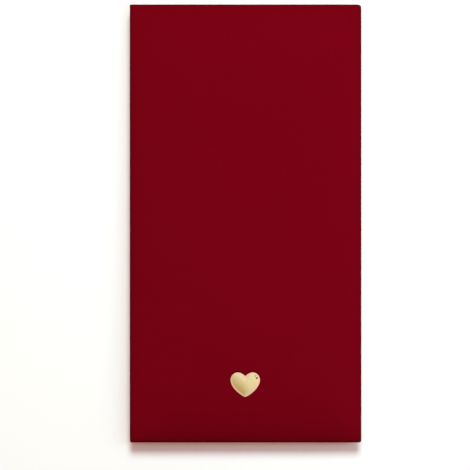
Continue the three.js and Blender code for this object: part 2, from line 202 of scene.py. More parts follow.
@contextmanager
def editing(piece):
    select_only(piece)
    bpy.ops.object.mode_set(mode="EDIT")
    yield
    bpy.ops.object.mode_set(mode="OBJECT")


def pick(piece, kind, test):
    """Selects the vertices, edges or faces that pass a test, and nothing else."""
    bpy.ops.mesh.select_mode(type=kind)
    bpy.ops.mesh.select_all(action="DESELECT")
    mesh = bmesh.from_edit_mesh(piece.data)
    for part in {"VERT": mesh.verts, "EDGE": mesh.edges, "FACE": mesh.faces}[kind]:
        if test(part):
            part.select_set(True)
    mesh.select_flush_mode()
    bmesh.update_edit_mesh(piece.data)


def near(a, b, within=1e-6):
    return abs(a - b) < within


def lies(edge, axis, place):
    """Whether both ends of an edge are at one place along an axis."""
    return all(near(vertex.co[axis], place) for vertex in edge.verts)


def score(axis, places):
    """Cuts straight lines right across the mesh in edit mode."""
    for place in places:
        bpy.ops.mesh.select_all(action="SELECT")
        point = [0.0, 0.0, 0.0]
        point[axis] = place
        direction = [0.0, 0.0, 0.0]
        direction[axis] = 1.0
        bpy.ops.mesh.bisect(plane_co=point, plane_no=direction)


def face_outwards():
    """Turns every face of a mesh outwards, in edit mode."""
    bpy.ops.mesh.select_all(action="SELECT")
    bpy.ops.mesh.normals_make_consistent(inside=False)


def spaced(low, high, count):
    return [low + (high - low) * i / count for i in range(count + 1)]


def move_points(piece, move):
    """Moves every point of a mesh to where a function says."""
    for vertex in piece.data.vertices:
        vertex.co = move(vertex.co)
    piece.data.update()


def apply_modifier(piece, kind, **settings):
    select_only(piece)
    modifier = piece.modifiers.new(kind.title(), kind)
    for setting, value in settings.items():
        setattr(modifier, setting, value)
    bpy.ops.object.modifier_apply(modifier=modifier.name)


def thicken(piece, thickness):
    """Gives a sheet its thickness, away from the side that it faces."""
    apply_modifier(piece, "SOLIDIFY", thickness=thickness, offset=-1, use_even_offset=True)


def cut_away(piece, cutter):
    """Cuts another object out of a piece, and removes the cutter."""
    apply_modifier(piece, "BOOLEAN", operation="DIFFERENCE", object=cutter, solver="EXACT")
    bpy.data.objects.remove(cutter)


def smooth(piece, degrees=35):
    select_only(piece)
    bpy.ops.object.shade_smooth_by_angle(angle=math.radians(degrees))


def finish_piece(piece, material, slot, bodies, *nodes):
    """Gives a piece its material, hides the CAD nodes that it stands for, and attaches it to its body. A
    piece that spans a bend keeps its place and is attached to no body.
    """
    piece.data.materials.clear()
    piece.data.materials.append(material)
    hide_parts(*nodes)
    if len(bodies) == 1:
        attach(piece, bodies[0])
    else:
        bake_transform(piece)


# Materials

# The mirrored room's colours are hex values, which stop at 1, and its lightest parts are
# a little brighter than that
MIRRORED_LEVEL = 1.25


def add_node(tree, kind, settings=None, links=None):
    """Adds a shader node, sets its inputs or properties, and links nodes or sockets into it."""
    node = tree.nodes.new("ShaderNode" + kind)
    for key, value in (settings or {}).items():
        if isinstance(key, int) or key in node.inputs:
            node.inputs[key].default_value = value
        else:
            setattr(node, key, value)
    for key, source in (links or {}).items():
        socket = source.outputs[0] if isinstance(source, bpy.types.Node) else source
        tree.links.new(socket, node.inputs[key])
    return node


def new_material(name):
    """An empty material, with its tree and the object's own coordinates."""
    material = bpy.data.materials.new(name)
    material.use_nodes = True
    tree = material.node_tree
    tree.nodes.clear()
    place = add_node(tree, "TexCoord").outputs["Object"]
    return material, tree, place


def end_material(tree, colour, height, relief, settings, links=None):
    """Ends a tree with its surface, raised by a height to (strength, depth), and the output."""
    strength, depth = relief
    bump = add_node(tree, "Bump", {"Strength": strength, "Distance": depth}, {"Height": height})
    links = {"Base Color": colour.outputs[2], "Normal": bump, **(links or {})}
    shader = add_node(tree, "BsdfPrincipled", settings, links)
    add_node(tree, "OutputMaterial", links={"Surface": shader})


def between_shades(rgba, dark, light):
    """Settings of a mix between a darker and a lighter shade of a linear colour."""
    darker, lighter = ([min(part * share, 1.0) for part in rgba[:3]] + [1.0] for share in (dark, light))
    return {"data_type": "RGBA", 6: darker, 7: lighter}


def between_colours(first, second):
    """Settings of a mix between two hex colours."""
    return {"data_type": "RGBA", 6: linear(first), 7: linear(second)}


def painted_nap_shade(tree, place):
    """How much of the nap's brightness is left under painted shade.

    The shade is painted in a narrow band at the rolled edges, where the paper runs over the boards'
    edges, and in a band along the bottom edge of the front, where the padding rolls away. That band is a
    lens.
    """
    x, y, z = add_node(tree, "SeparateXYZ", links={0: place}).outputs
    across = add_node(tree, "Math", {"operation": "ABSOLUTE"}, {0: x})
    along = add_node(tree, "Math", {"operation": "ABSOLUTE"}, {0: y})
    from_side = add_node(tree, "Math", {"operation": "SUBTRACT", 0: HALF_WIDTH}, {1: across})
    from_end = add_node(tree, "Math", {"operation": "SUBTRACT", 0: TOP_EDGE}, {1: along})
    from_edge = add_node(tree, "Math", {"operation": "MINIMUM"}, {0: from_side, 1: from_end})
    soft = {"interpolation_type": "SMOOTHSTEP"}
    # Painted shade at the rolled edges: a wide faint band and a narrow darker one
    wide_shade_range = {"From Min": 0.2 * MM, "From Max": 3.6 * MM, "To Min": 0.88}
    stretched_grain_and_wide_shade = add_node(tree, "MapRange", {**soft, **wide_shade_range}, {"Value": from_edge})
    # The narrow band is painted shade at the very edge
    narrow_shade_range = {"From Max": 1.2 * MM, "To Min": 0.64}
    rubbed = add_node(tree, "MapRange", {**soft, **narrow_shade_range}, {"Value": from_edge})
    edges = add_node(tree, "Math", {"operation": "MULTIPLY"}, {0: stretched_grain_and_wide_shade, 1: rubbed})
    # The painted bottom shade's lens fades over 17 mm in the middle and over 4 mm at the corners
    share = add_node(tree, "Math", {"operation": "DIVIDE", 1: HALF_WIDTH}, {0: across})
    cubed = add_node(tree, "Math", {"operation": "POWER", 1: 3.0}, {0: share})
    reach = add_node(tree, "Math", {"operation": "MULTIPLY_ADD", 1: -13 * MM, 2: 17 * MM}, {0: cubed})
    to_bottom = add_node(tree, "Math", {"operation": "SUBTRACT", 0: BOTTOM_EDGE}, {1: y})
    ratio = add_node(tree, "Math", {"operation": "DIVIDE"}, {0: to_bottom, 1: reach})
    fade = add_node(tree, "Math", {"operation": "EXPONENT"}, {0: ratio})
    # Painted shade along the bottom edge, on the front's upper face only
    upper = {"From Min": EDGE_HEIGHT - 1.0 * MM, "From Max": EDGE_HEIGHT, "To Max": 0.2}
    front = add_node(tree, "MapRange", {**soft, **upper}, {"Value": z})
    painted_bottom_shade = add_node(tree, "Math", {"operation": "MULTIPLY"}, {0: fade, 1: front})
    rest = add_node(tree, "Math", {"operation": "SUBTRACT", 0: 1.0}, {1: painted_bottom_shade})
    return add_node(tree, "Math", {"operation": "MULTIPLY"}, {0: edges, 1: rest})


MULTIPLIED = {"data_type": "RGBA", "blend_type": "MULTIPLY", "Factor": 1.0}


def suede_touch_paper(colours):
    """Paper flocked with a short viscose nap, glued on and brushed.

    The nap swallows highlights, so the red stays deep and very matt, with a faint bloom where
    the surface turns away. Shade is painted into it at the rolled edges and in a lens along the
    front's bottom edge.
    """
    material, tree, place = new_material("suede_touch_paper")
    # The nap's fibres are 0.1 mm apart, and are drawn at 0.6 mm so that they show
    fine = {"Scale": 1 / (0.6 * MM), "Detail": 4.0, "Roughness": 0.7}
    fibres = add_node(tree, "TexNoise", fine, {"Vector": place})
    nap = add_node(tree, "Mix", between_shades(colours.suede, 0.87, 1.13), {"Factor": fibres})
    # Strokes of the hand over the nap, about 14 mm across
    strokes = add_node(tree, "TexNoise", {"Scale": 1 / (14 * MM), "Detail": 1.0}, {"Vector": place})
    faint = {"From Min": 0.35, "From Max": 0.65, "To Min": 0.985}
    stroked = add_node(tree, "MapRange", faint, {"Value": strokes})
    # Painted shade: darker at the rolled edges and in a lens along the front's bottom edge
    pressed = painted_nap_shade(tree, place)
    level = add_node(tree, "Math", {"operation": "MULTIPLY"}, {0: pressed, 1: stroked})
    shading = add_node(tree, "CombineColor", links={0: level, 1: level, 2: level})
    red = add_node(tree, "Mix", MULTIPLIED, {6: nap.outputs[2], 7: shading})
    bloom = {"Sheen Weight": 0.12, "Sheen Roughness": 0.5, "Sheen Tint": linear("#C0303C")}
    matt = {"Roughness": 0.96, "Specular IOR Level": 0.04, **bloom}
    end_material(tree, red, fibres, (0.18, 0.06 * MM), matt)
    return material


def lining_paper(colours):
    """Uncoated wood-free paper, dyed in the pulp and pressed between felts.

    Short crossing fibres and a faint cloudiness show, and there is no gloss.
    """
    material, tree, place = new_material("uncoated_lining_paper")
    # Fibres 1 to 2 mm long and 0.05 mm thick, drawn 0.3 mm thick
    stretched_grain_and_wide_shade = add_node(tree, "Mapping", {"Scale": (1.0, 4.0, 1.0)}, {"Vector": place})
    fine = {"Scale": 1 / (1.2 * MM), "Detail": 5.0, "Roughness": 0.7}
    fibres = add_node(tree, "TexNoise", fine, {"Vector": stretched_grain_and_wide_shade})
    fibrous = add_node(tree, "Mix", between_shades(colours.lining, 0.78, 1.22), {"Factor": fibres})
    # Clouds of the pulp, about 6 mm across
    clouds = add_node(tree, "TexNoise", {"Scale": 1 / (6 * MM), "Detail": 3.0}, {"Vector": place})
    cloudiness = add_node(tree, "Mix", between_colours("#F0F0F0", "#FFFFFF"), {"Factor": clouds})
    red = add_node(tree, "Mix", MULTIPLIED, {6: fibrous.outputs[2], 7: cloudiness.outputs[2]})
    end_material(tree, red, fibres, (0.2, 0.04 * MM), {"Roughness": 0.85, "Specular IOR Level": 0.2})
    return material


def dyed_card(colours):
    """Solid card, dyed through and calendered.

    It is smoother than the papers, so its folds catch a little more light, and its cut edges
    are as red as its faces.
    """
    material, tree, place = new_material("dyed_card")
    # Felt marks of 0.9 mm
    felt = add_node(tree, "TexNoise", {"Scale": 1 / (0.9 * MM), "Detail": 3.0}, {"Vector": place})
    red = add_node(tree, "Mix", between_shades(colours.card, 0.82, 1.16), {"Factor": felt})
    end_material(tree, red, felt, (0.15, 0.04 * MM), {"Roughness": 0.78, "Specular IOR Level": 0.25})
    return material


def recycled_greyboard(colours):
    """Board pressed from waste paper: grey, with darker and lighter flecks of pulp."""
    material, tree, place = new_material("recycled_greyboard")
    # Flecks of 0.8 mm
    coarse = {"Scale": 1 / (0.8 * MM), "Detail": 5.0, "Roughness": 0.8}
    flecks = add_node(tree, "TexNoise", coarse, {"Vector": place})
    contrast = add_node(tree, "MapRange", {"From Min": 0.35, "From Max": 0.65}, {"Value": flecks})
    grey = add_node(tree, "Mix", between_shades(colours.board, 0.72, 1.15), {"Factor": contrast})
    end_material(tree, grey, flecks, (0.25, 0.05 * MM), {"Roughness": 0.9, "Specular IOR Level": 0.2})
    return material


def cell_foam(colours):
    """Foamed polyethylene sheet: its closed cells show as fine pits in a soft off-white."""
    material, tree, place = new_material("closed_cell_foam")
    # Cells of 0.3 mm, drawn at 0.5 mm
    cells = add_node(tree, "TexVoronoi", {"Scale": 1 / (0.5 * MM)}, {"Vector": place})
    pits = cells.outputs["Distance"]
    white = add_node(tree, "Mix", between_shades(colours.foam, 1.0, 0.83), {"Factor": pits})
    end_material(tree, white, pits, (0.3, 0.08 * MM), {"Roughness": 0.9, "Specular IOR Level": 0.2})
    return material


def plated_metal(name, tint, roughness, ripple):
    """Stamped metal, tumbled and electroplated.

    It mirrors the room, and the polishing leaves it very slightly rippled and hazed.
    """
    material, tree, place = new_material(name)
    # Polishing marks of 2.5 mm
    haze = add_node(tree, "TexNoise", {"Scale": 1 / (2.5 * MM), "Detail": 3.0}, {"Vector": place})
    metal = add_node(tree, "Mix", between_shades(tint, 0.94, 1.05), {"Factor": haze})
    spread = {"To Min": roughness * 0.85, "To Max": roughness * 1.15}
    gloss = add_node(tree, "MapRange", spread, {"Value": haze})
    end_material(tree, metal, haze, (ripple, 0.05 * MM), {"Metallic": 1.0}, {"Roughness": gloss})
    return material


# Covers are modelled lying face up at height 0, with depth as negative height.
# e is the distance from the crease, where the wrapped paper is folded flat.

FOLD_LAYERS = 2
GLUE = 0.05 * MM
# Width over which the lining steps down from the turn-ins to the board
LINING_STEP = 0.7 * MM
# The pocket's folded card, and the radius of its folds
CARD = 0.3 * MM
CARD_FOLD = 0.22 * MM
# How far the heart's prongs are bent out
PRONG_FOOT = 4 * MM
# Nothing further than this from the clasp's middle is pressed in by the heart
PRESSED_WITHIN = 12 * MM
# Lines across a cover where its paper is pressed flat beside a crease
CREASE_LINES = spaced(SHEET_END - 1.2 * MM, SHEET_END - 0.15 * MM, 6)


class Cover:
    """How deep a cover's layers lie under its outer face, and where its boards end."""

    def __init__(self, depth, board_depth, board_gaps, ends):
        self.depth = depth
        self.board_depth = board_depth
        self.board_gaps = board_gaps
        self.ends = ends

    def from_crease(self, v):
        """Distance to the nearest open end, with the gap from there to the board."""
        found = [(abs(v - end), gap) for end, gap in zip(self.ends, self.board_gaps)]
        return min(found)

    def wrap_depth(self, v, sizes):
        e, gap = self.from_crease(v)
        folded = FOLD_LAYERS * sizes.paper
        return blend_values(folded, self.depth, ease(e, 0.2 * MM, gap))

    def under_lining(self, v, over_turn_in, sizes):
        e, gap = self.from_crease(v)
        board = blend_values(sizes.paper, self.board_depth, ease(e, gap - 0.35 * MM, gap))
        return GLUE + blend_values(board, self.wrap_depth(v, sizes), over_turn_in)


def node_depths(node, face, axis, sign):
    """Nearest and farthest depth of a CAD node under an outer face."""
    low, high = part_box(node)
    return sorted(sign * (face - value) for value in (low[axis], high[axis]))


BOARD_GAP = SHEET_END - BOARD_END
FLAP = Cover(
    node_depths("flap_skin", EDGE_HEIGHT, 2, 1)[1],
    node_depths("flap_board", EDGE_HEIGHT, 2, 1)[1],
    [BOARD_GAP],
    [SHEET_END],
)
BACK = Cover(
    node_depths("back_skin", 0.0, 2, -1)[1],
    node_depths("back_board", 0.0, 2, -1)[1],
    [BOARD_GAP],
    [SHEET_END],
)
SPINE = Cover(
    node_depths("spine_skin", TOP_EDGE, 1, 1)[1],
    node_depths("spine_board", TOP_EDGE, 1, 1)[1],
    [SPINE_BOARD_LOW - SPINE_LOW, SPINE_HIGH - SPINE_BOARD_HIGH],
    [SPINE_LOW, SPINE_HIGH],
)


def wrapped_paper(name, v_low, v_high, depth, sizes, columns, rows, wraps_low_end):
    """Outer paper: a sheet with rolled edges, walls and turn-ins, open at its creases."""
    piece = flat_sheet(name, (-HALF_WIDTH, v_low), (HALF_WIDTH, v_high), columns, rows)

    def wrapped(edge):
        if lies(edge, 0, HALF_WIDTH) or lies(edge, 0, -HALF_WIDTH):
            return True
        return wraps_low_end and lies(edge, 1, v_low)

    def corner(edge):
        upright = not near(edge.verts[0].co.z, edge.verts[1].co.z)
        beside = near(abs(edge.verts[0].co.x), HALF_WIDTH)
        return wraps_low_end and upright and beside and lies(edge, 1, v_low)

    def fold(edge, facing):
        heights = sorted(abs(face.normal.z) for face in edge.link_faces)
        seen = any(face.normal.z * facing > 0.9 for face in edge.link_faces)
        return len(heights) == 2 and heights[0] < 0.1 and seen

    with editing(piece):
        pick(piece, "EDGE", wrapped)
        bpy.ops.mesh.extrude_edges_move(TRANSFORM_OT_translate={"value": (0, 0, -depth)})
        bpy.ops.mesh.extrude_edges_move(TRANSFORM_OT_translate={"value": (0, 0, 0)})
        along = (v_high - v_low - sizes.turn_in) / (v_high - v_low) if wraps_low_end else 1
        bpy.ops.transform.resize(
            value=(1 - sizes.turn_in / HALF_WIDTH, along, 1), center_override=(0, v_high, -depth)
        )
        face_outwards()
        pick(piece, "EDGE", lambda edge: fold(edge, 1) or corner(edge))
        bpy.ops.mesh.bevel(offset=sizes.edge_roll, segments=4, affect="EDGES")
        pick(piece, "EDGE", lambda edge: fold(edge, -1))
        bpy.ops.mesh.bevel(offset=sizes.inner_fold, segments=3, affect="EDGES")
    return piece


def fold_flat(piece, cover, sizes):
    """Presses a cover's wrapped paper flat where it runs into its creases."""
    move_points(
        piece, lambda co: Vector((co.x, co.y, co.z * cover.wrap_depth(co.y, sizes) / cover.depth))
    )


def lining_sheet(name, cover, v_low, v_high, lines, sizes, wraps_low_end):
    """Lining paper: glued over the turn-ins, and stepping down onto the board between them."""
    inset = HALF_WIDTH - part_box("flap_lining")[1].x
    half = HALF_WIDTH - inset
    well = HALF_WIDTH - sizes.turn_in
    low = v_low + inset if wraps_low_end else v_low
    piece = flat_sheet(name, (-half, low), (half, v_high), 2, 2)
    with editing(piece):
        across = spaced(well - LINING_STEP, well, 4)
        score(0, across + [-x for x in across])
        if wraps_low_end:
            score(1, spaced(v_low + sizes.turn_in, v_low + sizes.turn_in + LINING_STEP, 4))
        score(1, lines)

    def rest_on_layers(co):
        side = ease(abs(co.x), well - LINING_STEP, well)
        end = 0.0
        if wraps_low_end:
            end = 1 - ease(co.y, v_low + sizes.turn_in, v_low + sizes.turn_in + LINING_STEP)
        depth = cover.under_lining(co.y, max(side, end), sizes)
        return Vector((co.x, co.y, -depth))

    move_points(piece, rest_on_layers)
    return piece


def onto_flap(co):
    return Vector((co.x, co.y, EDGE_HEIGHT + co.z))


def onto_back(co):
    return Vector((-co.x, co.y, -co.z))


def onto_spine(co):
    """Height along the spine becomes Z, and the outer face looks to +Y."""
    return Vector((-co.x, TOP_EDGE + co.z, co.y))


ARC = math.pi / 2 * (CREASE_RADIUS - 0.2 * MM)


def round_crease(co, corner, up):
    """Bends a strip round a crease: v runs from the flat cover, through the arc, to the spine."""
    radius = CREASE_RADIUS + co.z
    centre_z = corner + up * CREASE_RADIUS
    angle = min(max(co.y / ARC, 0.0), 1.0) * math.pi / 2
    before = min(co.y, 0.0)
    after = max(co.y - ARC, 0.0)
    y = SHEET_END + before + radius * math.sin(angle)
    z = centre_z - up * radius * math.cos(angle) + up * after
    return Vector((-co.x * up, y, z))


def score_corner(sizes):
    """Cuts fine lines beside both ends, in edit mode, for the corner that is worn round."""
    lines = [HALF_WIDTH - sizes.worn_corner * share for share in (1.0, 0.8, 0.6, 0.45, 0.3, 0.15)]
    score(0, lines + [-x for x in lines])


def wear_corner(piece, sizes):
    """Rubs the corner at the right end of the hinged edge round, seen from the front.

    The spine's board stands under the lower part, so only the folded paper above it wears far.
    """
    over_board = 0.28

    def rubbed(co):
        spine = over_board * ease(co.z, SPINE_LOW, SPINE_HIGH)
        share = spine + (1 - over_board) * ease(co.z, SPINE_BOARD_HIGH, EDGE_HEIGHT - 0.6 * MM)
        radius = max(sizes.worn_corner * share, 0.01 * MM)
        centre = Vector((HALF_WIDTH - radius, TOP_EDGE - radius))
        off = co.xy - centre
        if min(off) > 0:
            off *= max(off) / off.length
            return Vector((centre.x + off.x, centre.y + off.y, co.z))
        return co

    move_points(piece, rubbed)


# The padded front


def crown_at(x, y, sizes):
    """Rise of the padded front over its edges. It falls away later in the middle than at corners."""
    across = abs(x / HALF_WIDTH)
    from_bottom = max(y - BOTTOM_EDGE, 0.0)
    from_top = max(SHEET_END - y, 0.0)
    roll = sizes.bottom_fade * (1 - 0.6 * across**4)
    wide_roll = 1 - math.exp(-from_bottom / roll)
    tight_roll = 1 - math.exp(-from_bottom / (0.2 * roll))
    bottom = 0.82 * wide_roll + 0.18 * tight_roll
    top = 1 - math.exp(-((from_top / sizes.top_fade) ** 1.5))
    return sizes.padding * (1 - across**6) * bottom * top


def heart_arcs(sizes):
    """The heart's outline as cubic arcs: notch, lobe, widest place, side, tip and back again."""
    w = sizes.heart_width / 2
    h = sizes.heart_height
    notch = (0, -0.153)
    lobe = (0.52, 0)
    widest = (1, -0.305)
    side = (0.155, -0.966)
    tip = (0, -1)
    right = [
        (notch, (0.097, -0.094), (0.285, 0), lobe),
        (lobe, (0.745, 0), (1, -0.125), widest),
        (widest, (1, -0.545), (0.64, -0.79), side),
        (side, (0.09, -0.991), (0.045, -1), tip),
    ]
    left = [tuple((-x, y) for x, y in reversed(arc)) for arc in reversed(right)]
    return [[Vector((x * w, (y + 0.5) * h)) + HEART_OFFSET for x, y in arc] for arc in right + left]


def heart_outline(sizes, steps):
    """Points round the heart, seen from the middle of the clasp."""
    points = []
    for a, b, c, d in heart_arcs(sizes):
        count = max(round(steps * (d - a).length / sizes.heart_width), 2)
        for i in range(count):
            t = i / count
            s = 1 - t
            points.append(a * s**3 + b * 3 * s * s * t + c * 3 * s * t * t + d * t**3)
    return points


def dip_at(x, y, outline, depth, reach):
    """How deep the heart presses the padding in at a place near it."""
    place = Vector((x - CLASP.x, y - CLASP.y))
    if place.length > PRESSED_WITHIN:
        return 0.0
    nearest = min(outline, key=lambda point: (place - point).length)
    if place.length < nearest.length:
        return depth
    return depth * (1 - ease((place - nearest).length, 0.1 * MM, reach))


def slot_edges():
    """Corners of the two slots that the heart's prongs pass through."""
    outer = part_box("heart_stud")[1].x - PRONG_FOOT + 0.3 * MM
    inner = outer - 1.1 * MM
    return inner, outer, CLASP.y - 1.3 * MM, CLASP.y + 1.3 * MM


def open_slots(piece):
    """Cuts the slots into a sheet, in edit mode."""
    inner, outer, low, high = slot_edges()
    score(0, [-outer, -inner, inner, outer])
    score(1, [low, high])

    def in_slot(face):
        centre = face.calc_center_median()
        return inner < abs(centre.x) < outer and low < centre.y < high and centre.z > -0.5 * MM

    pick(piece, "FACE", in_slot)
    bpy.ops.mesh.delete(type="FACE")


def refine_round_heart(piece):
    """Gives the cover small faces round the heart, in edit mode."""
    reach = 10.5 * MM
    score(0, [x * 1.5 * MM for x in range(-7, 8)])
    score(1, [CLASP.y + y * 1.5 * MM for y in range(-7, 8)])

    def close(face):
        off = face.calc_center_median() - Vector((CLASP.x, CLASP.y, 0))
        return abs(off.x) < reach and abs(off.y) < reach and abs(off.z) < 0.1 * MM

    pick(piece, "FACE", close)
    bpy.ops.mesh.subdivide(number_cuts=5)


class ENVELOPE_OT_flap_cover(bpy.types.Operator):
    """Model the padded front: suede-touch paper rolled over the flap's edges"""

    bl_idname = "envelope.flap_cover"
    bl_label = "Padded front"

    def execute(self, context):
        sizes = context.scene.envelope_sizes
        cover = wrapped_paper("flap_cover", BOTTOM_EDGE, SHEET_END, FLAP.depth, sizes, 60, 110, True)
        with editing(cover):
            score(1, CREASE_LINES)
            score_corner(sizes)
            open_slots(cover)
            refine_round_heart(cover)
        outline = heart_outline(sizes, 40)

        def padded(co):
            dip = dip_at(co.x, co.y, outline, sizes.heart_dip, sizes.dip_reach)
            rise = crown_at(co.x, co.y, sizes) - dip
            upper = co.z > -sizes.edge_roll - 0.01 * MM
            return Vector((co.x, co.y, co.z + rise)) if upper else co

        fold_flat(cover, FLAP, sizes)
        move_points(cover, padded)
        thicken(cover, sizes.paper)
        move_points(cover, onto_flap)
        wear_corner(cover, sizes)
        smooth(cover)
        finish_piece(cover, suede(context), "suede_paper", ["flap"], "flap_skin")
        return {"FINISHED"}


class ENVELOPE_OT_foam_pad(bpy.types.Operator):
    """Model the foam sheet between the padded front and its board"""

    bl_idname = "envelope.foam_pad"
    bl_label = "Foam pad"

    def execute(self, context):
        sizes = context.scene.envelope_sizes
        low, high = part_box("flap_pad")
        pad = flat_sheet("foam_pad", low.xy, high.xy, 50, 90)
        with editing(pad):
            open_slots(pad)
            bpy.ops.mesh.select_all(action="SELECT")
            bpy.ops.mesh.extrude_region_move(TRANSFORM_OT_translate={"value": (0, 0, 0.15 * MM)})
            face_outwards()
        outline = heart_outline(sizes, 20)

        def swell(co):
            dip = dip_at(co.x, co.y, outline, 1.6 * sizes.heart_dip, 5 * sizes.dip_reach)
            rise = crown_at(co.x, co.y, sizes) - dip
            return Vector((co.x, co.y, low.z + co.z + (max(rise, 0.0) if co.z > 0 else 0)))

        move_points(pad, swell)
        smooth(pad)
        foam = cell_foam(context.scene.envelope_colours)
        finish_piece(pad, foam, "foam", ["flap"], "flap_pad")
        return {"FINISHED"}


class ENVELOPE_OT_heart_stud(bpy.types.Operator):
    """Model the plated heart with its sloping rim, its dome and the prongs behind it"""

    bl_idname = "envelope.heart_stud"
    bl_label = "Heart"

    def execute(self, context):
        sizes = context.scene.envelope_sizes
        low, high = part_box("heart_stud")
        # The heart's foot sinks a little into the padding
        seat = EDGE_HEIGHT + CROWN - 0.35 * MM
        outline = heart_outline(sizes, 40)
        bpy.ops.object.select_all(action="DESELECT")
        bpy.ops.mesh.primitive_circle_add(vertices=len(outline), radius=1, fill_type="NGON")
        heart = named("heart_ornament")
        for vertex, point in zip(heart.data.vertices, reversed(outline)):
            vertex.co = (CLASP.x + point.x, CLASP.y + point.y, seat)
        rim_foot = seat + sizes.heart_side
        rim_top = rim_foot + sizes.rim_height
        with editing(heart):
            bpy.ops.mesh.select_mode(type="FACE")
            face_outwards()
            lift = {"value": (0, 0, rim_foot - seat)}
            bpy.ops.mesh.extrude_region_move(TRANSFORM_OT_translate=lift)
            bpy.ops.mesh.inset(thickness=sizes.rim_width, depth=0)
            bpy.ops.transform.translate(value=(0, 0, sizes.rim_height))
            rings = 14
            for ring in range(1, rings):
                inner, outer = (1 - i / rings for i in (ring, ring - 1))
                rise = (high.z - rim_top) * (outer**2 - inner**2)
                bpy.ops.mesh.extrude_region_move(TRANSFORM_OT_translate={"value": (0, 0, rise)})
                bpy.ops.transform.resize(
                    value=(inner / outer, inner / outer, 1),
                    center_override=(*(CLASP.xy + HEART_OFFSET), rim_top),
                )
            bpy.ops.mesh.poke()
        self.round_dome(heart, sizes, rim_top, high.z)
        notch = CLASP.xy + outline[0]

        def by_notch(vertex):
            above = vertex.co.z > rim_foot + 0.01 * MM
            return above and (vertex.co.xy - notch).length < 2.4 * MM

        with editing(heart):
            pick(heart, "VERT", by_notch)
            bpy.ops.mesh.vertices_smooth(factor=0.5, repeat=6)
            pick(heart, "VERT", lambda vertex: vertex.co.z > rim_top + 0.01 * MM)
            bpy.ops.mesh.vertices_smooth(factor=0.5, repeat=4)
            face_outwards()
        parts = [heart] + self.prongs(low, high, rim_foot)
        bpy.ops.object.select_all(action="DESELECT")
        for part in parts:
            part.select_set(True)
        bpy.context.view_layer.objects.active = heart
        bpy.ops.object.join()
        smooth(heart, 40)
        with editing(heart):
            pick(heart, "EDGE", lambda edge: lies(edge, 2, rim_top))
            bpy.ops.mesh.mark_sharp()
        gold = plated_metal("pale_gold_plate", context.scene.envelope_colours.gold, 0.08, 0.05)
        finish_piece(heart, gold, "pale_gold", ["flap"], "heart_stud")
        return {"FINISHED"}

    def round_dome(self, heart, sizes, foot, top):
        """Draws the dome's upper rings from heart shapes towards circles.

        Below the notch they are held back, so that a short soft valley is left there.
        """
        middle = CLASP.xy + HEART_OFFSET

        def rounder(co):
            rise = (co.z - foot) / (top - foot)
            off = co.xy - middle
            if rise <= 0.01 or off.length == 0:
                return co
            circle = 0.35 * sizes.heart_width * math.sqrt(max(1 - rise, 0))
            circle = min(circle, 1.3 * off.length)
            reach = blend_values(off.length, circle, 0.85 * ease(rise, 0.15, 0.9))
            off *= reach / off.length
            return Vector((middle.x + off.x, middle.y + off.y, co.z))

        move_points(heart, rounder)

    def prongs(self, low, high, top):
        """Two flat prongs whose ends are bent outwards behind the board."""
        made = []
        for side, name in ((1, "right_prong"), (-1, "left_prong")):
            stem_outer = high.x - PRONG_FOOT
            stem = sorted(side * x for x in (stem_outer - 0.5 * MM, stem_outer))
            bottom = low.z + 0.4 * MM
            prong = block(
                name, (stem[0], CLASP.y - 1 * MM, bottom), (stem[1], CLASP.y + 1 * MM, top - 0.1 * MM)
            )
            with editing(prong):
                pick(prong, "FACE", lambda face: face.normal.z < -0.9)
                bpy.ops.mesh.extrude_region_move(TRANSFORM_OT_translate={"value": (0, 0, -0.4 * MM)})
                pick(
                    prong,
                    "FACE",
                    lambda face: face.normal.x * side > 0.9
                    and face.calc_center_median().z < bottom,
                )
                outwards = (side * PRONG_FOOT, 0, 0)
                bpy.ops.mesh.extrude_region_move(TRANSFORM_OT_translate={"value": outwards})
                face_outwards()
            apply_modifier(prong, "BEVEL", width=0.08 * MM, segments=2, limit_method="ANGLE")
            made.append(prong)
        return made


class ENVELOPE_OT_back_cover(bpy.types.Operator):
    """Model the outer paper of the back cover"""

    bl_idname = "envelope.back_cover"
    bl_label = "Back cover"

    def execute(self, context):
        sizes = context.scene.envelope_sizes
        cover = wrapped_paper("back_cover", BOTTOM_EDGE, SHEET_END, BACK.depth, sizes, 30, 56, True)
        with editing(cover):
            score(1, CREASE_LINES)
        fold_flat(cover, BACK, sizes)
        thicken(cover, sizes.paper)
        move_points(cover, onto_back)
        smooth(cover)
        finish_piece(cover, suede(context), "suede_paper", ["back"], "back_skin")
        return {"FINISHED"}


class ENVELOPE_OT_spine_cover(bpy.types.Operator):
    """Model the outer paper of the narrow spine"""

    bl_idname = "envelope.spine_cover"
    bl_label = "Spine cover"

    def execute(self, context):
        sizes = context.scene.envelope_sizes
        cover = wrapped_paper("spine_cover", SPINE_LOW, SPINE_HIGH, SPINE.depth, sizes, 40, 4, False)
        with editing(cover):
            score(1, spaced(SPINE_LOW + 0.15 * MM, SPINE_LOW + 1.2 * MM, 6))
            score(1, spaced(SPINE_HIGH - 1.4 * MM, SPINE_HIGH - 0.15 * MM, 6))
            score_corner(sizes)
        fold_flat(cover, SPINE, sizes)
        thicken(cover, sizes.paper)
        move_points(cover, onto_spine)
        wear_corner(cover, sizes)
        smooth(cover)
        finish_piece(cover, suede(context), "suede_paper", ["spine"], "spine_skin")
        return {"FINISHED"}


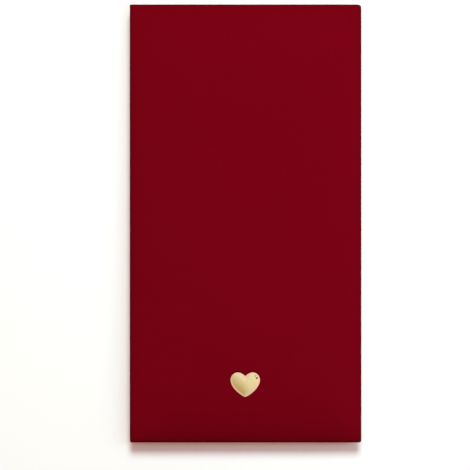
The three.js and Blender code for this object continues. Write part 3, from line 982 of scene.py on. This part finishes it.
class ENVELOPE_OT_linings(bpy.types.Operator):
    """Model the lining papers inside the flap, the back cover and the spine"""

    bl_idname = "envelope.linings"
    bl_label = "Linings"

    def execute(self, context):
        sizes = context.scene.envelope_sizes
        paper = lining(context)
        leg = SHEET_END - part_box("lower_crease_lining")[0].y
        rows = spaced(SHEET_END - BOARD_GAP - 0.1 * MM, SHEET_END - leg, 4)[:-1]
        for name, cover, place, body in (
            ("flap_inner_lining", FLAP, onto_flap, "flap"),
            ("back_inner_lining", BACK, onto_back, "back"),
        ):
            lines = list(rows)
            if cover is FLAP:
                lines += [CLASP.y + y * MM for y in range(-7, 8)]
            sheet = lining_sheet(name, cover, BOTTOM_EDGE, SHEET_END - leg, lines, sizes, True)
            if cover is FLAP:
                self.press_over_clasp(sheet)
            thicken(sheet, sizes.lining)
            move_points(sheet, place)
            smooth(sheet)
            finish_piece(sheet, paper, "lining_paper", [body], body + "_lining")
        upper_leg = SPINE_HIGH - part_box("upper_crease_lining")[0].z
        low_gap, high_gap = SPINE.board_gaps
        lines = spaced(SPINE_LOW + leg, SPINE_LOW + low_gap + 0.1 * MM, 4)[1:]
        lines += spaced(SPINE_HIGH - high_gap - 0.1 * MM, SPINE_HIGH - upper_leg, 4)[:-1]
        sheet = lining_sheet(
            "spine_inner_lining", SPINE, SPINE_LOW + leg, SPINE_HIGH - upper_leg, lines, sizes, False
        )
        thicken(sheet, sizes.lining)
        move_points(sheet, onto_spine)
        smooth(sheet)
        finish_piece(sheet, paper, "lining_paper", ["spine"], "spine_lining")
        return {"FINISHED"}

    def press_over_clasp(self, sheet):
        """Lets the magnet's edge and the prongs' feet show faintly through the lining."""
        with editing(sheet):
            score(0, [x * MM for x in range(-12, 13)])
        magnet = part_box("clasp_magnet")[1].x
        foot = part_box("heart_stud")[1].x

        def pressed(co):
            off = Vector((co.x - CLASP.x, co.y - CLASP.y))
            disc = 1 - ease(off.length, magnet - 0.6 * MM, magnet + 1.2 * MM)
            across = 1 - ease(abs(off.y), 0.6 * MM, 2 * MM)
            feet = across * (1 - ease(abs(off.x), foot - 0.5 * MM, foot + 1 * MM))
            return Vector((co.x, co.y, co.z - 0.07 * MM * max(disc, 0.8 * feet)))

        move_points(sheet, pressed)


class ENVELOPE_OT_creases(bpy.types.Operator):
    """Model the folds of outer paper and lining on both sides of the spine"""

    bl_idname = "envelope.creases"
    bl_label = "Creases"

    def execute(self, context):
        sizes = context.scene.envelope_sizes
        back = (0, SHEET_END, 0.2 * MM)
        spine_low = (0, TOP_EDGE - 0.2 * MM, SPINE_LOW)
        spine_high = (0, TOP_EDGE - 0.2 * MM, SPINE_HIGH)
        flap = (0, SHEET_END, EDGE_HEIGHT - 0.2 * MM)
        leg = SHEET_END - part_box("lower_crease_lining")[0].y
        upper_leg = SPINE_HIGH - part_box("upper_crease_lining")[0].z
        for name, cover, corner, up, upright, bodies in (
            ("lower_crease", BACK, 0.0, 1, leg, ["back", "spine", back, spine_low]),
            ("upper_crease", FLAP, EDGE_HEIGHT, -1, upper_leg, ["spine", "flap", spine_high, flap]),
        ):
            fold = wrapped_paper(name + "_fold", 0, ARC, cover.depth, sizes, 40, 14, False)
            with editing(fold):
                score_corner(sizes)
            flat = FOLD_LAYERS * sizes.paper / cover.depth
            move_points(fold, lambda co: Vector((co.x, co.y, co.z * flat)))
            thicken(fold, sizes.paper)
            move_points(fold, lambda co: round_crease(co, corner, up))
            if up < 0:
                wear_corner(fold, sizes)
            smooth(fold)
            finish_piece(fold, suede(context), "suede_paper", bodies, name)
            strip = self.lining_strip(name + "_inner_lining", cover, leg, upright, sizes)
            move_points(strip, lambda co: round_crease(co, corner, up))
            smooth(strip)
            finish_piece(strip, lining(context), "lining_paper", bodies, name + "_lining")
        return {"FINISHED"}

    def lining_strip(self, name, cover, leg, upright, sizes):
        """The lining in a crease: a leg on the flat cover, the arc and a leg on the spine."""
        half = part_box("flap_lining")[1].x
        well = HALF_WIDTH - sizes.turn_in
        strip = flat_sheet(name, (-half, -leg), (half, ARC + upright), 24, 2)
        with editing(strip):
            across = spaced(well - LINING_STEP, well, 4)
            score(0, across + [-x for x in across])
            on_cover = spaced(-leg, 0, 5)[1:]
            round_arc = spaced(0, ARC, 12)[1:]
            on_spine = spaced(ARC, ARC + upright, 5)[1:-1]
            score(1, on_cover + round_arc + on_spine)

        def rest(co):
            side = ease(abs(co.x), well - LINING_STEP, well)
            if co.y < 0:
                depth = cover.under_lining(SHEET_END + co.y, side, sizes)
            elif co.y > ARC:
                e = co.y - ARC
                v = SPINE_LOW + e if cover is BACK else SPINE_HIGH - e
                depth = SPINE.under_lining(v, side, sizes)
            else:
                depth = GLUE + sizes.paper * blend_values(1, FOLD_LAYERS, side)
            return Vector((co.x, co.y, -depth))

        move_points(strip, rest)
        thicken(strip, sizes.lining)
        return strip


def folded_strip(name, profile, axis, low, high, thickness, roundness, widen=None):
    """Card folded along straight lines. The profile's first stretch lies flat on its tab.

    axis is 0 where the profile runs along X, and 1 where it runs along Y.
    """
    (start, height), (end, _) = profile[:2]
    first, last = sorted((start, end))
    corners = [(first, low), (last, high)] if axis == 0 else [(low, first), (high, last)]
    strip = flat_sheet(name, corners[0], corners[1], 1, 1)
    move_points(strip, lambda co: Vector((co.x, co.y, height)))
    with editing(strip):
        for (a, b), (c, d) in zip(profile[1:], profile[2:]):
            pick(strip, "EDGE", lambda edge: lies(edge, axis, a) and lies(edge, 2, b))
            shift = [0.0, 0.0, d - b]
            shift[axis] = c - a
            bpy.ops.mesh.extrude_edges_move(TRANSFORM_OT_translate={"value": shift})
        if widen:
            widen(strip)
        pick(strip, "EDGE", lambda edge: len(edge.link_faces) == 2 and edge.calc_face_angle() > 0.3)
        bpy.ops.mesh.bevel(offset=roundness, segments=4, affect="EDGES")
    apply_modifier(strip, "SOLIDIFY", thickness=thickness, offset=0, use_even_offset=True)
    smooth(strip)
    return strip


class ENVELOPE_OT_gussets(bpy.types.Operator):
    """Fold the two side gussets and the bottom wall of the pocket"""

    bl_idname = "envelope.gussets"
    bl_label = "Gussets and bottom wall"

    def execute(self, context):
        sizes = context.scene.envelope_sizes
        card = dyed_card(context.scene.envelope_colours)
        for side, node in ((1, "right_gusset"), (-1, "left_gusset")):
            low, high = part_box(node)
            reach = max(abs(low.x), abs(high.x))
            outer = side * (reach - CARD / 2)
            inner = side * (reach - sizes.gusset_depth)
            tab = side * (reach - sizes.gusset_depth + 1 * MM)
            bottom, top = low.z + CARD / 2, high.z - CARD / 2
            profile = [
                (tab, bottom),
                (outer, bottom),
                (outer, bottom + sizes.gusset_standoff),
                (inner, (bottom + top) / 2),
                (outer, top - sizes.gusset_standoff),
                (outer, top),
                (tab, top),
            ]
            gusset = folded_strip(
                node.replace("gusset", "bellows"), profile, 0, low.y, high.y, CARD, CARD_FOLD
            )
            tab_top = (0, 0, low.z + CARD)
            panel_tab = (0, 0, high.z - CARD)
            finish_piece(gusset, card, "gusset_card", ["back", "pocket", tab_top, panel_tab], node)
        self.bottom_wall(card)
        return {"FINISHED"}

    def bottom_wall(self, card):
        low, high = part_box("bottom_wall")
        tab_half = high.x - 11 * MM
        foot, crest = low.z + CARD / 2, high.z - CARD / 2
        wall_y = low.y + CARD / 2

        def widen(strip):
            for side in (1, -1):
                pick(
                    strip, "EDGE", lambda edge: lies(edge, 0, side * tab_half) and lies(edge, 1, wall_y)
                )
                bpy.ops.mesh.extrude_edges_move(
                    TRANSFORM_OT_translate={"value": (side * (high.x - tab_half), 0, 0)}
                )

        profile = [(high.y, foot), (wall_y, foot), (wall_y, crest)]
        wall = folded_strip(
            "pocket_bottom_wall", profile, 1, -tab_half, tab_half, CARD, CARD_FOLD, widen
        )
        finish_piece(wall, card, "gusset_card", ["back"], "bottom_wall")


class ENVELOPE_OT_pocket_front(bpy.types.Operator):
    """Cut the pocket's card front and its suede-touch facing, with the thumb notch"""

    bl_idname = "envelope.pocket_front"
    bl_label = "Pocket front"

    def execute(self, context):
        sizes = context.scene.envelope_sizes
        card = dyed_card(context.scene.envelope_colours)
        panel = self.plate("pocket_card", "pocket_panel", sizes)
        keeper_low, keeper_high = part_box("keeper_disc")
        radius = (keeper_high.x - keeper_low.x) / 2 + 0.3 * MM
        self.bore(panel, CLASP, radius, keeper_low.z - GLUE, keeper_high.z + 1 * MM)
        smooth(panel, 15)
        finish_piece(panel, card, "gusset_card", ["pocket"], "pocket_panel")
        facing = self.plate("pocket_suede_facing", "pocket_facing", sizes)
        smooth(facing, 15)
        finish_piece(facing, suede(context), "suede_paper", ["pocket"], "pocket_facing")
        return {"FINISHED"}

    def bore(self, piece, centre, radius, low, high):
        bpy.ops.object.select_all(action="DESELECT")
        middle = (centre[0], centre[1], (low + high) / 2)
        bpy.ops.mesh.primitive_cylinder_add(
            vertices=96, radius=radius, depth=high - low, location=middle
        )
        cut_away(piece, named("cutter"))

    def plate(self, name, node, sizes):
        low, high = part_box(node)
        plate = block(name, low, high)

        def mouth_corner(edge):
            upright = not near(edge.verts[0].co.z, edge.verts[1].co.z)
            return upright and lies(edge, 1, high.y)

        with editing(plate):
            pick(plate, "EDGE", mouth_corner)
            bpy.ops.mesh.bevel(offset=sizes.mouth_corner, segments=10, affect="EDGES")
        self.bore(plate, (0, high.y), sizes.thumb_notch, low.z - 1 * MM, high.z + 1 * MM)
        softness = (high.z - low.z) * 0.2
        apply_modifier(plate, "BEVEL", width=softness, segments=2, limit_method="ANGLE", angle_limit=1.0)
        return plate


class ENVELOPE_OT_hidden_finishes(bpy.types.Operator):
    """Give the boards, the magnet and the keeper disc their materials"""

    bl_idname = "envelope.hidden_finishes"
    bl_label = "Boards and clasp parts"

    def execute(self, context):
        colours = context.scene.envelope_colours
        board = recycled_greyboard(colours)
        finishes = {
            "back_board": board,
            "spine_board": board,
            "flap_board": board,
            "clasp_magnet": plated_metal("nickel_plate", colours.nickel, 0.25, 0.04),
            "keeper_disc": plated_metal("tin_plate", colours.steel, 0.35, 0.08),
        }
        for node, material in finishes.items():
            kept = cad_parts[node]
            kept.data.materials.clear()
            kept.data.materials.append(material)
        return {"FINISHED"}


class ENVELOPE_OT_stage(bpy.types.Operator):
    """Set the floor, the soft studio light and the camera straight above the envelope"""

    bl_idname = "envelope.stage"
    bl_label = "Stage"

    def execute(self, context):
        scene = context.scene
        scene.view_settings.view_transform = "Standard"
        self.camera(scene)
        self.lights()
        self.world(scene)
        self.floor(scene.envelope_colours)
        return {"FINISHED"}

    def camera(self, scene):
        """Straight down, a little left of and below the middle, as the photograph was framed."""
        lens = 100
        sensor = 36
        view_width = 245.7 * MM
        widest_level = EDGE_HEIGHT - scene.envelope_sizes.edge_roll
        distance = view_width * lens / sensor
        bpy.ops.object.camera_add(
            location=(-5.53 * MM, -6.04 * MM, widest_level + distance), rotation=(0, 0, 0)
        )
        camera = bpy.context.object
        camera.data.lens = lens
        camera.data.sensor_width = sensor
        camera.data.clip_start = 0.01
        scene.camera = camera

    def lights(self):
        """A large soft box above the hinged edge, and a cooler strip near the right side."""
        for name, direction, distance, across, along, energy, tint in (
            ("soft_box", (0.05, 0.66, 0.82), 2.2, 0.9, 0.85, 43.5, "#FFFFFF"),
            ("side_strip", (0.56, 0.0, 0.82), 0.5, 0.12, 0.5, 0.69, "#D3EAFF"),
        ):
            towards = Vector(direction).normalized()
            bpy.ops.object.light_add(
                type="AREA",
                location=towards * distance,
                rotation=towards.to_track_quat("Z", "Y").to_euler(),
            )
            light = bpy.context.object
            light.name = name
            light.data.shape = "ELLIPSE"
            light.data.size = across
            light.data.size_y = along
            light.data.energy = energy
            light.data.color = linear(tint)[:3]
            light.visible_glossy = False

    def world(self, scene):
        """Fill from a pale room, lighter on the side of the soft box. Seen directly it is white."""
        world = bpy.data.worlds.new("pale_room")
        scene.world = world
        world.use_nodes = True
        tree = world.node_tree
        tree.nodes.clear()
        direction = add_node(tree, "TexCoord").outputs["Generated"]
        lighter_side = {"operation": "DOT_PRODUCT", 1: (0.64, 0.6, 0.1)}
        side = add_node(tree, "VectorMath", lighter_side, {0: direction}).outputs["Value"]
        levels = {"From Min": -0.9, "From Max": 0.9, "To Min": 0.03, "To Max": 0.46}
        level = add_node(tree, "MapRange", levels, {"Value": side})
        room = add_node(tree, "Background", {"Color": linear("#FFF4DE")}, {"Strength": level})
        mirrored = self.mirrored_room(tree, direction)
        bright = add_node(tree, "Background", {"Strength": MIRRORED_LEVEL}, {"Color": mirrored})
        plain = add_node(tree, "Background", {"Color": linear("#FFFFFF"), "Strength": 1.0})
        camera_ray, reflected = self.ray_kinds(tree)
        lit = add_node(tree, "MixShader", links={0: reflected, 1: room, 2: bright})
        seen = add_node(tree, "MixShader", links={0: camera_ray, 1: lit, 2: plain})
        add_node(tree, "OutputWorld", links={"Surface": seen})

    def ray_kinds(self, tree):
        """Whether a ray comes from the camera, and whether it was mirrored or let through."""
        rays = add_node(tree, "LightPath").outputs
        either = {0: rays["Is Glossy Ray"], 1: rays["Is Transmission Ray"]}
        return rays["Is Camera Ray"], add_node(tree, "Math", {"operation": "MAXIMUM"}, either)

    def mirrored_room(self, tree, direction):
        """The room that polished metal mirrors: warm and dim low on the left, white on the right.

        Near the horizon it is rosy, and two small dark gaps stand high on the right.
        """
        soft = {"interpolation_type": "SMOOTHSTEP"}
        right_side = {"operation": "DOT_PRODUCT", 1: (0.68, 0.54, 0.1)}
        side = add_node(tree, "VectorMath", right_side, {0: direction}).outputs["Value"]
        place = add_node(tree, "MapRange", {**soft, "From Min": -0.56, "From Max": 0.5}, {"Value": side})
        overhead = add_node(tree, "Mix", between_colours("#BBAB93", "#EAEAE8"), {"Factor": place})
        horizon = add_node(tree, "Mix", between_colours("#DFBCC6", "#FBD0F4"), {"Factor": place})
        height = add_node(tree, "SeparateXYZ", links={0: direction}).outputs[2]
        falling = {"From Min": 0.38, "From Max": 0.64, "To Min": 1.0, "To Max": 0.0}
        low = add_node(tree, "MapRange", {**soft, **falling}, {"Value": height})
        tones = {"Factor": low, 6: overhead.outputs[2], 7: horizon.outputs[2]}
        room = add_node(tree, "Mix", {"data_type": "RGBA"}, tones)
        dark_tone = {"data_type": "RGBA", 7: linear("#18140C")}
        for gap, cosine in (((0.405, 0.07, 0.911), 0.9979), ((0.29, 0.24, 0.926), 0.9992)):
            towards_gap = {"operation": "DOT_PRODUCT", 1: gap}
            facing = add_node(tree, "VectorMath", towards_gap, {0: direction}).outputs["Value"]
            edge = {**soft, "From Min": cosine - 0.0003, "From Max": cosine}
            dark = add_node(tree, "MapRange", edge, {"Value": facing})
            room = add_node(tree, "Mix", dark_tone, {"Factor": dark, 6: room.outputs[2]})
        return room.outputs[2]

    def floor(self, colours):
        """A pale floor that keeps the shadow and turns to plain white further out."""
        bpy.ops.object.select_all(action="DESELECT")
        bpy.ops.mesh.primitive_plane_add(size=6, location=(0, 0, -0.02 * MM))
        floor = named("floor")
        material, tree, place = new_material("pale_floor")
        matt = add_node(tree, "BsdfDiffuse", {"Color": list(colours.floor)})
        camera_ray, reflected = self.ray_kinds(tree)
        seen = add_node(tree, "Math", {"operation": "MAXIMUM"}, {0: reflected, 1: camera_ray})
        # A warm veil keeps the shadow as pale and warm as the photograph's
        veil = add_node(tree, "Emission", {"Color": linear("#862600")}, {"Strength": seen})
        near_floor = add_node(tree, "AddShader", links={0: matt, 1: veil})
        distance = add_node(tree, "VectorMath", {"operation": "LENGTH"}, {0: place}).outputs["Value"]
        outwards = {"interpolation_type": "SMOOTHSTEP", "From Min": 0.16, "From Max": 0.4}
        far = add_node(tree, "MapRange", outwards, {"Value": distance})
        far_seen = add_node(tree, "Math", {"operation": "MULTIPLY"}, {0: far, 1: seen})
        white = add_node(tree, "Emission", {"Color": linear("#FFFFFF"), "Strength": 1.0})
        both = add_node(tree, "MixShader", links={0: far_seen, 1: near_floor, 2: white})
        add_node(tree, "OutputMaterial", links={"Surface": both})
        floor.data.materials.append(material)


def shared(name, make, context):
    """The material of that name, made the first time that it is asked for."""
    found = bpy.data.materials.get(name)
    return found or make(context.scene.envelope_colours)


def suede(context):
    return shared("suede_touch_paper", suede_touch_paper, context)


def lining(context):
    return shared("uncoated_lining_paper", lining_paper, context)


STEPS = (
    ENVELOPE_OT_stage,
    ENVELOPE_OT_flap_cover,
    ENVELOPE_OT_foam_pad,
    ENVELOPE_OT_heart_stud,
    ENVELOPE_OT_back_cover,
    ENVELOPE_OT_spine_cover,
    ENVELOPE_OT_linings,
    ENVELOPE_OT_creases,
    ENVELOPE_OT_gussets,
    ENVELOPE_OT_pocket_front,
    ENVELOPE_OT_hidden_finishes,
)


class ENVELOPE_PT_pieces(bpy.types.Panel):
    """Lists the sizes, the colours and the pieces to make"""

    bl_idname = "ENVELOPE_PT_pieces"
    bl_label = "Padded gift envelope"
    bl_space_type = "VIEW_3D"
    bl_region_type = "UI"
    bl_category = "Envelope"

    def draw(self, context):
        column = self.layout.column(align=True)
        for step in STEPS:
            column.operator(step.bl_idname)
        for group in (context.scene.envelope_sizes, context.scene.envelope_colours):
            column = self.layout.column(align=True)
            for setting in group.bl_rna.properties:
                if setting.identifier not in ("rna_type", "name"):
                    column.prop(group, setting.identifier)


CLASSES = (EnvelopeSizes, EnvelopeColours, *STEPS, ENVELOPE_PT_pieces)


def register():
    for cls in CLASSES:
        bpy.utils.register_class(cls)
    bpy.types.Scene.envelope_sizes = bpy.props.PointerProperty(type=EnvelopeSizes)
    bpy.types.Scene.envelope_colours = bpy.props.PointerProperty(type=EnvelopeColours)


def unregister():
    del bpy.types.Scene.envelope_colours
    del bpy.types.Scene.envelope_sizes
    for cls in reversed(CLASSES):
        bpy.utils.unregister_class(cls)


def main():
    register()
    bpy.ops.envelope.stage()
    bpy.ops.envelope.flap_cover()
    bpy.ops.envelope.foam_pad()
    bpy.ops.envelope.heart_stud()
    bpy.ops.envelope.back_cover()
    bpy.ops.envelope.spine_cover()
    bpy.ops.envelope.linings()
    bpy.ops.envelope.creases()
    bpy.ops.envelope.gussets()
    bpy.ops.envelope.pocket_front()
    bpy.ops.envelope.hidden_finishes()


if __name__ == "__main__":
    main()
